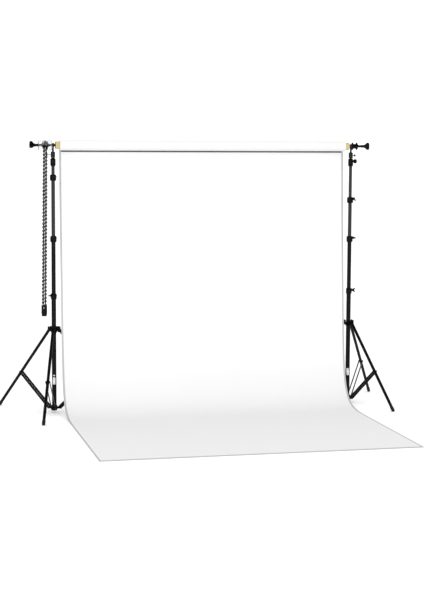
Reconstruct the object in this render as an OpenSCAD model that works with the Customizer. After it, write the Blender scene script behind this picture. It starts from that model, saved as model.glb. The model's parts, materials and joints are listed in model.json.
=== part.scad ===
// Background support system: two four-section stands on sliding tripod bases carry a paper roll
// on hooks; the paper hangs down behind the axis and sweeps forward over the floor.
// Millimetres, +Z up, +X along the roll to the right, -Y towards the viewer.

/* [Paper] */
// Width of the paper
paper_w = 2720; // [2600:10:2740]
// Outer diameter of the paper left on the roll
roll_d = 95; // [90:1:120]
// Thickness of the hanging sheet
sheet_t = 0.4; // [0.3:0.1:1]
// How far the paper runs forward of the roll axis
sheet_front = 2230; // [1500:10:2600]
// Radius of the bend at the floor
sweep_r = 320; // [250:10:420]
// Forward tilt of the hanging paper, degrees
hang_tilt = 5; // [4:0.5:6]

/* [Cardboard core] */
// Outer diameter
core_d = 68; // [66:1:72]
// Bore
core_bore = 57; // [57:1:58]
// Length, a little more than the paper's width
core_len = 2800; // [2790:1:2804]

/* [Stands] */
// Distance between the two stands' columns
stand_gap = 2844; // [2840:1:2860]
// Height of the roll's axis
roll_z = 2460; // [2456:1:2466]
// Outer diameter of the fixed base tube
base_d = 42; // [42:1:43]
// Outer diameter that each sliding tube loses
step_d = 4; // [4:0.5:4.5]
// Wall of every tube
tube_wall = 1.3; // [1.2:0.1:1.3]
// Length of each sliding tube
riser_len = 980; // [960:10:990]
// Underside of the clamp on the base tube
base_clamp_z = 1048; // [1046:1:1060]
// Height of a clamp
clamp_h = 56; // [54:1:60]
// Underside of the left stand's first and second sliding clamps
left_clamp_z = [1577, 2137]; // [1548:1:2140]
// Underside of the right stand's first and second sliding clamps
right_clamp_z = [1548, 1921]; // [1548:1:2140]
// Underside of the fitting at the top of each stand
top_fitting_z = 2270; // [2266:1:2276]

/* [Tripod bases] */
// Direction of the left stand's first leg, degrees from +X
left_leg_turn = 134.2; // [125:0.1:140]
// Direction of the right stand's first leg, degrees from +X
right_leg_turn = -67.6; // [-75:0.1:-60]
// Reach of a foot from its column
foot_reach = 655; // [630:5:655]
// Outer diameter of a leg
leg_d = 28; // [26:0.5:28]
// Height of the leg pivots
leg_pivot_z = 775; // [770:1:780]
// Height of the brace pivots
brace_pivot_z = 42; // [40:1:42]
// Travel of the leg collar from open to folded
fold_travel = 270; // [265:1:270]

/* [Roll holders] */
// Middle of the left wheel, outboard of its column
left_wheel_out = 70; // [66:1:80]
// Middle of the right wheel, outboard of its column
right_wheel_out = 36; // [36:1:80]
// Radius of the holder's shaft
shaft_r = 11; // [10:0.5:11]
// Radius of the wheel's flanges
wheel_r = 36; // [34:1:38]
// Length of one chain loop, wheel to weight
chain_drop = 1500; // [1200:10:1600]

/* [Hidden] */
$fn = 48;
run = 0.05;
LEGS = [0, 1, 2];
stand_x = stand_gap / 2;

// A tube's outer radius: 0 is the base tube and 1 to 3 are the risers
function tube_r(i) = (base_d - i * step_d) / 2;

leg_pivot_r = 48;
brace_pivot_r = 55;
foot_ball_r = 15.5;
foot_centre_z = 13;
bar_in = 16;
bar_t = 4;
bar_w = 22;
pin_r = 4;
drum_r = 24;
guard_r = 47;
guard_t = 1.5;

// The leg and brace lengths that let a leg fold flat against the column at the end of the travel
leg_run = foot_reach - leg_pivot_r;
leg_rise = leg_pivot_z - foot_centre_z;
leg_len = norm([leg_run, leg_rise]);
leg_lean = atan2(leg_run, leg_rise);
pivot_dr = leg_pivot_r - brace_pivot_r;
pivot_dz = leg_pivot_z - brace_pivot_z;
reach_sum = pivot_dz + fold_travel;
brace_on_leg = (reach_sum ^ 2 - pivot_dr ^ 2 - pivot_dz ^ 2)
    / (2 * (reach_sum + pivot_dr * sin(leg_lean) - pivot_dz * cos(leg_lean)));
brace_len = reach_sum - brace_on_leg;
joint_r = leg_pivot_r + brace_on_leg * sin(leg_lean);
joint_z = leg_pivot_z - brace_on_leg * cos(leg_lean);
brace_lean = atan2(joint_r - brace_pivot_r, joint_z - brace_pivot_z);

// Where the hanging paper leaves the roll, and where its bend to the floor starts and is centred
leave_r = roll_d / 2 + sheet_t + run;
tangent_y = leave_r * cos(hang_tilt);
tangent_z = roll_z - leave_r * sin(hang_tilt);
bend_start_z = sweep_r * (1 - sin(hang_tilt));
bend_start_y = tangent_y - (tangent_z - bend_start_z) * tan(hang_tilt);
bend_centre_y = bend_start_y - sweep_r * cos(hang_tilt);

// The frame's origin is on the floor, in the middle of the footprint
foot_edge = 14.5;
low_x = -stand_x + foot_reach * cos(left_leg_turn) - foot_edge - 1;
high_x = stand_x + foot_reach * cos(right_leg_turn + 120) + foot_edge + 1;
high_y = foot_reach * sin(right_leg_turn + 120) + foot_edge + 1;
origin_x = -(low_x + high_x) / 2;
origin_y = -(high_y - sheet_front) / 2;

// Which way each clamp's knob points, degrees from +X, from the base clamp up
left_knob_turns = [225, 262, 262, 265];
right_knob_turns = [-25, 0, -55, 0];
left_leg_knob_turn = left_leg_turn + 180;
right_leg_knob_turn = right_leg_turn + 300;

// ---------- shared shapes ----------

module placed() translate([origin_x, origin_y, 0]) children();

// side is -1 for the left stand and 1 for the right one
module on_stand(side) placed() translate([side * stand_x, 0, 0]) children();

module ring(r_out, r_in, h) {
    difference() {
        cylinder(r = r_out, h = h);
        translate([0, 0, -1]) cylinder(r = r_in, h = h + 2);
    }
}

// A cylinder along Y, centred on the origin
module cross_pin(r, length) rotate([90, 0, 0]) cylinder(r = r, h = length, center = true);

// Puts its children at a height, pointing outwards along a direction around the column
module pointing(turn, z) translate([0, 0, z]) rotate([0, 0, turn]) rotate([0, 90, 0]) children();

// ---------- column ----------

module base_tube(side) on_stand(side) color("#111111")
    translate([0, 0, 24]) ring(base_d / 2, base_d / 2 - tube_wall, base_clamp_z - 24 + 26);

// A sliding tube with its guide bush at the foot; top is where the tube ends
module riser(side, i, top) on_stand(side) color(i == 1 ? "#151515" : "#2b2d2c") {
    bush_h = 24;
    outer = tube_r(i - 1) - tube_wall - run;
    translate([0, 0, top - riser_len]) ring(tube_r(i), tube_r(i) - tube_wall, riser_len);
    translate([0, 0, top - riser_len + 4]) ring(outer, tube_r(i) + 0.02, bush_h);
}

// A clamp on tube i that grips tube i + 1, with a boss that its knob screws through
module clamp(side, i, z, turn) on_stand(side) color("#0c0c0c") {
    seat_h = 28;
    r = i == 0 ? 27 : 29;
    boss_z = z + clamp_h - 16;
    difference() {
        union() {
            translate([0, 0, z]) cylinder(r1 = r - 4, r2 = r, h = 10);
            translate([0, 0, z + 10]) cylinder(r = r, h = clamp_h - 18);
            translate([0, 0, z + clamp_h - 8]) cylinder(r1 = r, r2 = r - 4, h = 8);
            pointing(turn, boss_z) translate([-13, -11, 18]) cube([26, 22, 16]);
        }
        translate([0, 0, z - 1]) cylinder(r = tube_r(i) + 0.02, h = seat_h + 1);
        translate([0, 0, z]) cylinder(r = tube_r(i + 1) + run, h = clamp_h + 1);
        pointing(turn, boss_z) cylinder(r = pin_r + run, h = 60);
    }
}

// A wing screw through the boss of a clamp
module wing_knob(side, i, z, turn, wing_turn) on_stand(side) color("#0a0a0a")
    pointing(turn, z) rotate([0, 0, wing_turn]) {
        tip = tube_r(i + 1) + 0.4;
        translate([0, 0, tip]) cylinder(r = pin_r, h = 40 - tip);
        translate([0, 0, 35]) cylinder(r = 10, h = 12);
        intersection() {
            translate([-17, -4, 40]) cube([34, 8, 24]);
            translate([0, 0, 46]) cross_pin(19, 20);
        }
    }

// The fitting at the head of the stand: a socket on the last tube and a spigot above it
module top_fitting(side, turn) on_stand(side) color("#1a1b1a") {
    z = top_fitting_z;
    difference() {
        union() {
            translate([0, 0, z]) cylinder(r1 = 20, r2 = 24, h = 12);
            translate([0, 0, z + 12]) cylinder(r = 24, h = 52);
            translate([0, 0, z + 64]) cylinder(r1 = 24, r2 = 17, h = 9);
            translate([0, 0, z + 72]) cylinder(r = 8, h = 49);
            pointing(turn, z + 48) cylinder(r = 10, h = 30);
        }
        translate([0, 0, z - 1]) cylinder(r = tube_r(3) + 0.02, h = 31);
        pointing(turn, z + 48) translate([0, 0, 8]) cylinder(r = pin_r + run, h = 40);
    }
}

module round_knob(side, turn) on_stand(side) color("#0a0a0a")
    pointing(turn, top_fitting_z + 48) {
        translate([0, 0, 9]) cylinder(r = pin_r, h = 26);
        translate([0, 0, 31]) cylinder(r1 = 14, r2 = 21, h = 8);
        difference() {
            translate([0, 0, 39]) cylinder(r = 21, h = 14);
            for (k = [0:7]) rotate([0, 0, 45 * k]) translate([23, 0, 38]) cylinder(r = 5, h = 16);
        }
        translate([0, 0, 53]) cylinder(r1 = 17, r2 = 10, h = 6);
    }

// ---------- hooks ----------

hook_w = 20;
hook_socket_z = top_fitting_z + 75;

// An open U above a socket; the holder's shaft lies in it
module hook(side, turn) on_stand(side) color("#111111") {
    socket_h = 57;
    arm_t = 7;
    outer = shaft_r + run + arm_t;
    socket_top = hook_socket_z + socket_h;
    neck_h = roll_z - outer - socket_top + 3;
    difference() {
        union() {
            translate([0, 0, hook_socket_z]) cylinder(r1 = 17, r2 = 20, h = 5);
            translate([0, 0, hook_socket_z + 5]) cylinder(r = 20, h = socket_h - 11);
            translate([0, 0, socket_top - 6]) cylinder(r1 = 20, r2 = 12, h = 6);
            translate([0, 0, socket_top - 1]) cylinder(r = 9, h = neck_h + 1);
            translate([0, 0, roll_z]) rotate([0, 90, 0]) cylinder(r = outer, h = hook_w, center = true);
            translate([-hook_w / 2, -outer, roll_z]) cube([hook_w, 2 * outer, 20]);
        }
        translate([0, 0, roll_z]) rotate([0, 90, 0]) cylinder(r = shaft_r + run, h = 60, center = true);
        translate([-30, -shaft_r - run, roll_z]) cube([60, 2 * (shaft_r + run), 30]);
        for (s = [-1, 1])
            translate([0, s * (shaft_r + 1), roll_z + 22]) rotate([s * 40, 0, 0])
                translate([-30, -6, -6]) cube([60, 12, 12]);
        translate([0, 0, hook_socket_z - 1]) cylinder(r = 8 + run, h = 49);
        pointing(turn, hook_socket_z + 28) cylinder(r = 3 + run, h = 60);
    }
}

// The small-headed screw that holds the hook on the spigot
module hook_screw(side, turn, reach) on_stand(side) color("#0d0d0d")
    pointing(turn, hook_socket_z + 28) rotate_extrude() polygon([
        [0, 8.4], [3, 8.4], [3, reach - 16], [6, reach - 16], [11, reach - 10], [11, reach - 3],
        [8, reach], [0, reach]
    ]);

// ---------- tripod base ----------

function leg_turn(side, k) = (side < 0 ? left_leg_turn : right_leg_turn) + 120 * k;

// The collar that slides on the base tube: three forks for the legs, each with its own pin
module leg_collar(side, knob_turn) on_stand(side) color("#0e0e0e") {
    low = leg_pivot_z - 33;
    high = leg_pivot_z + 2;
    tip = leg_pivot_z + 24;
    gap = leg_d / 2 + 0.5;
    cheek = 5;
    difference() {
        union() {
            translate([0, 0, low]) cylinder(r = 27, h = high - low);
            for (k = LEGS) rotate([0, 0, leg_turn(side, k)]) for (s = [-1, 1]) {
                translate([20, s * (gap + cheek / 2) - cheek / 2, low + 12])
                    cube([38, cheek, high - low - 12]);
                translate([27, s * (gap + cheek / 2) - cheek / 2, high - 1])
                    cube([31, cheek, tip - high + 1]);
            }
            pointing(knob_turn, leg_pivot_z - 9) cylinder(r = 10, h = 34);
        }
        translate([0, 0, low - 1]) cylinder(r = base_d / 2 + run, h = 60);
        for (k = LEGS) rotate([0, 0, leg_turn(side, k)])
            translate([leg_pivot_r, 0, leg_pivot_z]) cross_pin(pin_r + 0.02, 60);
        pointing(knob_turn, leg_pivot_z - 9) cylinder(r = pin_r + run, h = 60);
    }
    for (k = LEGS) rotate([0, 0, leg_turn(side, k)]) translate([leg_pivot_r, 0, leg_pivot_z]) {
        cross_pin(pin_r, 2 * (gap + cheek) + 2);
        for (s = [-1, 1]) translate([0, s * (gap + cheek + 1.6), 0]) cross_pin(7, 3);
    }
}

// A leg: tube, pivot head, the bush where its brace joins, and a rubber foot
module leg(side, k) on_stand(side) rotate([0, 0, leg_turn(side, k)]) difference() {
    translate([leg_pivot_r, 0, leg_pivot_z]) rotate([0, -leg_lean, 0]) {
        color("#1b1c1b") difference() {
            union() {
                cross_pin(leg_d / 2, leg_d);
                translate([0, 0, -60]) cylinder(r = leg_d / 2, h = 60);
                translate([0, 0, 6 - leg_len]) ring(leg_d / 2, leg_d / 2 - tube_wall, leg_len - 60);
                translate([0, 0, -brace_on_leg]) cross_pin(7, 2 * bar_in - 0.4);
            }
            cross_pin(pin_r + run, 60);
        }
        color("#0a0a0a") difference() {
            union() {
                translate([0, 0, -leg_len]) sphere(r = foot_ball_r);
                translate([0, 0, -leg_len]) cylinder(r = foot_ball_r, h = 34);
            }
            translate([0, 0, 5.9 - leg_len]) cylinder(r = leg_d / 2 + 0.02, h = 60);
        }
    }
    translate([foot_reach - 100, -100, -200]) cube([200, 200, 200]);
}

// The hub at the foot of the base tube: three lugs that the braces straddle, with their pins
module brace_hub(side) on_stand(side) color("#0e0e0e") {
    low = brace_pivot_z - 24;
    lug_h = 20;
    lug_t = 16;
    difference() {
        union() {
            translate([0, 0, low]) cylinder(r1 = 22, r2 = 28, h = 8);
            translate([0, 0, low + 8]) cylinder(r = 28, h = 40);
            for (k = LEGS) rotate([0, 0, leg_turn(side, k)]) {
                translate([21, -lug_t / 2, brace_pivot_z - lug_h / 2])
                    cube([brace_pivot_r - 21, lug_t, lug_h]);
                translate([brace_pivot_r, 0, brace_pivot_z]) cross_pin(lug_h / 2, 2 * bar_in - 0.4);
            }
        }
        translate([0, 0, 24]) cylinder(r = base_d / 2 + 0.02, h = 60);
        for (k = LEGS) rotate([0, 0, leg_turn(side, k)])
            translate([brace_pivot_r, 0, brace_pivot_z]) cross_pin(pin_r + 0.02, 60);
    }
    for (k = LEGS) rotate([0, 0, leg_turn(side, k)])
        translate([brace_pivot_r, 0, brace_pivot_z]) {
            cross_pin(pin_r, 2 * (bar_in + bar_t) + 2);
            for (s = [-1, 1]) translate([0, s * (bar_in + bar_t + 1.7), 0]) cross_pin(7, 3);
        }
}

// A brace: two flat bars, one on each side of the leg, with rivet heads at the leg's bush
module brace(side, k) on_stand(side) color("#121212") rotate([0, 0, leg_turn(side, k)])
    translate([brace_pivot_r, 0, brace_pivot_z]) rotate([0, brace_lean, 0])
        for (s = [-1, 1]) translate([0, s * (bar_in + bar_t / 2), 0]) difference() {
            union() {
                translate([-bar_w / 2, -bar_t / 2, 0]) cube([bar_w, bar_t, brace_len]);
                cross_pin(bar_w / 2, bar_t);
                translate([0, 0, brace_len]) cross_pin(bar_w / 2, bar_t);
                translate([0, s * (bar_t / 2 + 1.4), brace_len]) cross_pin(7, 3);
            }
            cross_pin(pin_r + run, 20);
        }

// ---------- roll and its holders ----------

module along_x(r, from, to) translate([from, 0, 0]) rotate([0, 90, 0]) cylinder(r = r, h = to - from);

module on_axis() placed() translate([0, 0, roll_z]) children();

module core() on_axis() color("#b89a68") rotate([0, 90, 0]) difference() {
    cylinder(r = core_d / 2, h = core_len, center = true);
    cylinder(r = core_bore / 2, h = core_len + 2, center = true);
}

module wound_paper() on_axis() color("#f6f6f6") rotate([0, 90, 0]) difference() {
    cylinder(r = roll_d / 2, h = paper_w, center = true);
    cylinder(r = core_d / 2 + 0.02, h = paper_w + 2, center = true);
}

// One holder, seen from its wheel outwards along +X; the core's mouth is core_in behind the wheel
module holder(side, wheel_out) on_axis()
    translate([side * (stand_x + wheel_out), 0, 0]) rotate([0, 0, side < 0 ? 180 : 0]) children();

function mouth(wheel_out) = stand_x + wheel_out - core_len / 2;

module holder_shaft(side, wheel_out) holder(side, wheel_out) color("#121212") difference() {
    union() {
        along_x(shaft_r, -mouth(wheel_out) - 10, 69);
        translate([-mouth(wheel_out) - 92, 0, 0]) rotate([0, 90, 0]) cylinder(r1 = 13, r2 = 21, h = 84);
    }
    along_x(pin_r + run, -mouth(wheel_out) - 100, 80);
}

// Three fingers that the cone spreads against the core's bore
module fingers(side, wheel_out) holder(side, wheel_out) color("#303030")
    for (k = LEGS) rotate([120 * k, 0, 0]) translate([-mouth(wheel_out) - 88, 0, 0])
        rotate([0, 90, 0]) rotate_extrude(angle = 80) translate([22, 0]) square([core_bore / 2 - 22.1, 76]);

module wheel(side, wheel_out) holder(side, wheel_out) color("#161616") difference() {
    union() {
        along_x(drum_r, -23, 23);
        for (x = [-23, 19.5]) along_x(wheel_r, x, x + 3.5);
        translate([-20, 0, 0]) rotate([0, 90, 0]) cylinder(r1 = wheel_r - 4, r2 = drum_r, h = 3);
        translate([17, 0, 0]) rotate([0, 90, 0]) cylinder(r1 = drum_r, r2 = wheel_r - 4, h = 3);
    }
    along_x(shaft_r + 0.02, -30, 30);
}

// A clear drum over the chain wheel, open below for the chain
module chain_guard(side, wheel_out) holder(side, wheel_out) color([0.85, 0.9, 0.92, 0.4]) difference() {
    rotate([0, 90, 0]) rotate_extrude() polygon([
        [14, -60], [guard_r - 6, -60], [guard_r, -54], [guard_r, 58], [guard_r - 6, 64], [14, 64],
        [14, 64 - guard_t], [guard_r - 6.6, 64 - guard_t], [guard_r - guard_t, 57.4],
        [guard_r - guard_t, -53.4], [guard_r - 6.6, guard_t - 60], [14, guard_t - 60]
    ]);
    translate([-34, -60, -60]) cube([68, 120, 60]);
}

// The three-lobed knob with the rod that draws the cone into the fingers
module holder_knob(side, wheel_out) holder(side, wheel_out) color("#0a0a0a") rotate([0, 90, 0]) {
    rod_end = -mouth(wheel_out) - 104;
    rotate_extrude() polygon([
        [0, rod_end], [9, rod_end], [9, rod_end + 8], [pin_r, rod_end + 8],
        [pin_r, 69.1], [13, 69.1], [13, 98], [24, 114], [24, 137], [14, 143], [0, 143]
    ]);
    for (k = LEGS) rotate([0, 0, 120 * k + (side < 0 ? 60 : 90)]) translate([25, 0, 0])
        rotate_extrude() polygon([[0, 112], [11, 112], [13, 116], [13, 136], [8, 144], [0, 144]]);
}

// ---------- hanging paper ----------

// Draws an outline in the Y-Z plane and stretches it across the paper's width
module across_paper() placed() translate([-paper_w / 2, 0, 0])
    rotate([90, 0, 90]) linear_extrude(paper_w) children();

// The straight stretch, from the back of the roll down to where the bend starts
module hanging_paper() color("#fbfbfb") across_paper()
    translate([bend_start_y, bend_start_z]) rotate(-hang_tilt)
        translate([-sheet_t, 0])
            square([sheet_t, (tangent_z - bend_start_z) / cos(hang_tilt) - 1]);

// The bend, and the stretch that lies on the floor in front of it
module swept_paper() color("#efefef") across_paper() {
    translate([-sheet_front, 0]) square([sheet_front + bend_centre_y, sheet_t]);
    intersection() {
        translate([bend_centre_y, sweep_r]) difference() {
            circle(r = sweep_r, $fn = 120);
            circle(r = sweep_r - sheet_t, $fn = 120);
        }
        polygon([
            [bend_centre_y, sweep_r],
            [bend_centre_y, -50],
            [bend_centre_y + 400, -50],
            [bend_centre_y + 400, sweep_r - 400 * tan(hang_tilt)]
        ]);
    }
}

// ---------- drive chain ----------

chain_r = 5;
chain_turn_r = drum_r + chain_r + 0.5;
chain_shift = 11;
chain_foot_z = roll_z - chain_drop;
chain_foot_shift = -18;
chain_x = -(stand_x + left_wheel_out);
CHAIN_STEPS = 20;

// The loop's middle line: up the front strand, over the wheel and down the back strand
function over_wheel(a) = [
    chain_x + chain_shift * cos(a), -chain_turn_r * cos(a), roll_z + chain_turn_r * sin(a)
];
function foot_of(s) = [chain_x + chain_foot_shift + s * chain_shift, -s * 9, chain_foot_z];
function strand(s, t) = foot_of(s) * (1 - t) + over_wheel(s > 0 ? 0 : 180) * t;
chain_route = concat(
    [for (i = [0:CHAIN_STEPS - 1]) strand(1, i / CHAIN_STEPS)],
    [for (a = [0:15:180]) over_wheel(a)],
    [for (i = [1:CHAIN_STEPS]) strand(-1, 1 - i / CHAIN_STEPS)]
);

function unit(v) = v / norm(v);
function way(p, i) = unit(p[min(i + 1, len(p) - 1)] - p[max(i - 1, 0)]);

// A tube of n sides along a route that stays near the Y-Z plane
module tube_along(p, r, n) {
    rings = [for (i = [0:len(p) - 1])
        let (u = unit(cross(way(p, i), [1, 0, 0])), v = cross(way(p, i), u))
        [for (k = [0:n - 1]) p[i] + r * (cos(360 * k / n) * u + sin(360 * k / n) * v)]];
    last = len(p) - 1;
    polyhedron(
        points = [for (q = rings) each q],
        faces = concat(
            [[for (k = [0:n - 1]) k]],
            [for (i = [0:last - 1], k = [0:n - 1])
                [i * n + k, (i + 1) * n + k, (i + 1) * n + (k + 1) % n, i * n + (k + 1) % n]],
            [[for (k = [n - 1:-1:0]) last * n + k]]
        ));
}

module chain() placed() color("#9a9a9a") tube_along(chain_route, chain_r, 8);

// The weight that the loop's foot runs through, with its window
module weight() placed() color("#0a0a0a")
    translate([chain_x + chain_foot_shift, 0, chain_foot_z - 62]) difference() {
        union() {
            translate([-24, -17, 38]) cube([48, 34, 62]);
            rotate([0, 0, 45]) cylinder(r1 = 22, r2 = 27, h = 38.1, $fn = 32);
        }
        translate([-11, -30, 68]) cube([22, 60, 12]);
        for (s = [-1, 1]) translate([s * chain_shift, -s * 9, 61]) cylinder(r = chain_r + 1.5, h = 60);
    }

// ---------- what is drawn ----------

base_tube(-1);  // left_base_tube
clamp(-1, 0, base_clamp_z, left_knob_turns[0]);  // left_base_clamp
wing_knob(-1, 0, base_clamp_z + clamp_h - 16, left_knob_turns[0], 90);  // left_base_knob
riser(-1, 1, left_clamp_z[0] + 27);  // left_riser_1
clamp(-1, 1, left_clamp_z[0], left_knob_turns[1]);  // left_clamp_1
wing_knob(-1, 1, left_clamp_z[0] + clamp_h - 16, left_knob_turns[1], 30);  // left_knob_1
riser(-1, 2, left_clamp_z[1] + 27);  // left_riser_2
clamp(-1, 2, left_clamp_z[1], left_knob_turns[2]);  // left_clamp_2
wing_knob(-1, 2, left_clamp_z[1] + clamp_h - 16, left_knob_turns[2], 60);  // left_knob_2
riser(-1, 3, top_fitting_z + 29);  // left_riser_3
top_fitting(-1, left_knob_turns[3]);  // left_top_fitting
round_knob(-1, left_knob_turns[3]);  // left_top_knob
hook(-1, 180);  // left_hook
hook_screw(-1, 180, 66);  // left_hook_screw
leg_collar(-1, left_leg_knob_turn);  // left_leg_collar
wing_knob(-1, -1, leg_pivot_z - 9, left_leg_knob_turn, 20);  // left_leg_knob
brace_hub(-1);  // left_brace_hub
leg(-1, 0);  // left_leg_1
leg(-1, 1);  // left_leg_2
leg(-1, 2);  // left_leg_3
brace(-1, 0);  // left_brace_1
brace(-1, 1);  // left_brace_2
brace(-1, 2);  // left_brace_3

base_tube(1);  // right_base_tube
clamp(1, 0, base_clamp_z, right_knob_turns[0]);  // right_base_clamp
wing_knob(1, 0, base_clamp_z + clamp_h - 16, right_knob_turns[0], 0);  // right_base_knob
riser(1, 1, right_clamp_z[0] + 27);  // right_riser_1
clamp(1, 1, right_clamp_z[0], right_knob_turns[1]);  // right_clamp_1
wing_knob(1, 1, right_clamp_z[0] + clamp_h - 16, right_knob_turns[1], 90);  // right_knob_1
riser(1, 2, right_clamp_z[1] + 27);  // right_riser_2
clamp(1, 2, right_clamp_z[1], right_knob_turns[2]);  // right_clamp_2
wing_knob(1, 2, right_clamp_z[1] + clamp_h - 16, right_knob_turns[2], 35);  // right_knob_2
riser(1, 3, top_fitting_z + 29);  // right_riser_3
top_fitting(1, right_knob_turns[3]);  // right_top_fitting
round_knob(1, right_knob_turns[3]);  // right_top_knob
hook(1, 0);  // right_hook
hook_screw(1, 0, 47);  // right_hook_screw
leg_collar(1, right_leg_knob_turn);  // right_leg_collar
wing_knob(1, -1, leg_pivot_z - 9, right_leg_knob_turn, 20);  // right_leg_knob
brace_hub(1);  // right_brace_hub
leg(1, 0);  // right_leg_1
leg(1, 1);  // right_leg_2
leg(1, 2);  // right_leg_3
brace(1, 0);  // right_brace_1
brace(1, 1);  // right_brace_2
brace(1, 2);  // right_brace_3

core();  // cardboard_core
wound_paper();  // paper_roll
hanging_paper();  // paper_drop
swept_paper();  // paper_sweep
holder_shaft(-1, left_wheel_out);  // left_holder_shaft
wheel(-1, left_wheel_out);  // left_chain_wheel
holder_knob(-1, left_wheel_out);  // left_holder_knob
holder_shaft(1, right_wheel_out);  // right_holder_shaft
wheel(1, right_wheel_out);  // right_wheel
holder_knob(1, right_wheel_out);  // right_holder_knob
union() {  // grip_fingers
    fingers(-1, left_wheel_out);
    fingers(1, right_wheel_out);
}
chain_guard(-1, left_wheel_out);
chain();  // drive_chain
weight();  // chain_weight
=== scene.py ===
"""Looks for a background support system: two stands, a roll of paper and its drive chain.

Lengths are in metres, in the row's frame: +X along the roll, +Z up, and the paper's front edge
towards -Y.
"""

import json
import math

import bmesh
import bpy
from mathutils import Matrix, Vector, noise


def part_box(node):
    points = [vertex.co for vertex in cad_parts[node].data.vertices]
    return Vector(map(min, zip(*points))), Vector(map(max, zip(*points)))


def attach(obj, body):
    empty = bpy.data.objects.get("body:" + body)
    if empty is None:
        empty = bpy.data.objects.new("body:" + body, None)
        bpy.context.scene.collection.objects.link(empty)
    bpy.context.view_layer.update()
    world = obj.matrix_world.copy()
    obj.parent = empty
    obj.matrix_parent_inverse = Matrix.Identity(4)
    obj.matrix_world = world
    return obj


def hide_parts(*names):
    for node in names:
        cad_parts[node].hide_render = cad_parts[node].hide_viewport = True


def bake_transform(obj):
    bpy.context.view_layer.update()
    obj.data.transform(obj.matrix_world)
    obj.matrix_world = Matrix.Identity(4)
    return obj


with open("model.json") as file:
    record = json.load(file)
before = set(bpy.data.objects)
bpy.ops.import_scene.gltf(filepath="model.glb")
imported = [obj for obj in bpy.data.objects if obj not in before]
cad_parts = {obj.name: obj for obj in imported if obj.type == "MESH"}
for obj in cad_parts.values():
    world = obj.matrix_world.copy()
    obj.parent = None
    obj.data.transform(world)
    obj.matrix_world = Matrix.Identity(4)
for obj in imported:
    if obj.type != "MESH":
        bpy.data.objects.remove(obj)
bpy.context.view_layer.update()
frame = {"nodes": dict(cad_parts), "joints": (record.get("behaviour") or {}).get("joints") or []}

MM = 0.001
SIDES = {"left": -1, "right": 1}
NODES = frame["nodes"]
JOINTS = {joint["name"]: joint for joint in frame["joints"]}


# ---------- places read from the frame ----------


def box_centre(node):
    low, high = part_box(node)
    return (low + high) / 2


COLUMN = {side: box_centre(f"{side}_base_tube").xy for side in SIDES}
MIDDLE = Vector((*((COLUMN["left"] + COLUMN["right"]) / 2), 0))
ROLL_LOW, ROLL_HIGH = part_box("paper_roll")
AXIS = (ROLL_LOW + ROLL_HIGH) / 2
ROLL_R = (ROLL_HIGH.z - ROLL_LOW.z) / 2
PAPER_W = ROLL_HIGH.x - ROLL_LOW.x
CORE_LOW, CORE_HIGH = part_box("cardboard_core")
CORE_R = (CORE_HIGH.z - CORE_LOW.z) / 2
WHEEL = {"left": box_centre("left_chain_wheel"), "right": box_centre("right_wheel")}
SHEET_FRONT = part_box("paper_sweep")[0].y
SWEEP_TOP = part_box("paper_sweep")[1].z

# Sizes that the CAD has too, and that its boxes don't give.
CORE_BORE_R = 28.5 * MM
TUBE_R = [21 * MM, 19 * MM, 17 * MM, 15 * MM]
FOOT_REACH = 655 * MM
FOOT_LIFT = 13 * MM
LEG_PIVOT_Z = 775 * MM
LEG_PIVOT_R = 48 * MM


def own_body(side, body):
    """A stand's own body, or the root, which both stands share."""
    return body if body == "root" else f"{side}_{body}"


# ---------- camera, light and floor ----------

# Places are from the middle between the stands, at the floor.
CAMERA_PLACE = (-3.235, -13.9465, 2.5535)
CAMERA_YAW, CAMERA_PITCH, CAMERA_ROLL = (math.radians(a) for a in (-13.34, -6.125, 0.306))
LENS_MM = 91.89
SENSOR_MM = 36
CLIP_END = 200
LIGHT_PLACE = (-3.5, -13, 2.2)
LIGHT_TARGET = (0, 0, 1.6)
LIGHT_SIZE = (5, 2.4)
LIGHT_POWER = 480
# The surround's strength, and its strength in reflections.
SURROUND = 1.22
GLOSS_SURROUND = 0.05
FLOOR_REACH = 70
FLOOR_DROP = 0.4 * MM


def make_camera():
    """Stands in front and to the left, a little above the roll, with a long lens."""
    data = bpy.data.cameras.new("camera")
    data.lens = LENS_MM
    data.sensor_width = SENSOR_MM
    data.clip_end = CLIP_END
    camera = bpy.data.objects.new("camera", data)
    aim = Matrix.Rotation(math.pi / 2 + CAMERA_PITCH, 4, "X")
    turn = Matrix.Rotation(CAMERA_YAW, 4, "Z") @ aim
    place = Matrix.Translation(MIDDLE + Vector(CAMERA_PLACE))
    camera.matrix_world = place @ turn @ Matrix.Rotation(CAMERA_ROLL, 4, "Z")
    bpy.context.scene.collection.objects.link(camera)
    bpy.context.scene.camera = camera


def make_front_light():
    """A wide soft light at the camera."""
    data = bpy.data.lights.new("front", "AREA")
    data.shape = "RECTANGLE"
    data.size, data.size_y = LIGHT_SIZE
    data.energy = LIGHT_POWER
    light = bpy.data.objects.new("front", data)
    light.location = MIDDLE + Vector(LIGHT_PLACE)
    away = light.location - (MIDDLE + Vector(LIGHT_TARGET))
    light.rotation_euler = away.to_track_quat("Z", "Y").to_euler()
    bpy.context.scene.collection.objects.link(light)


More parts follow.
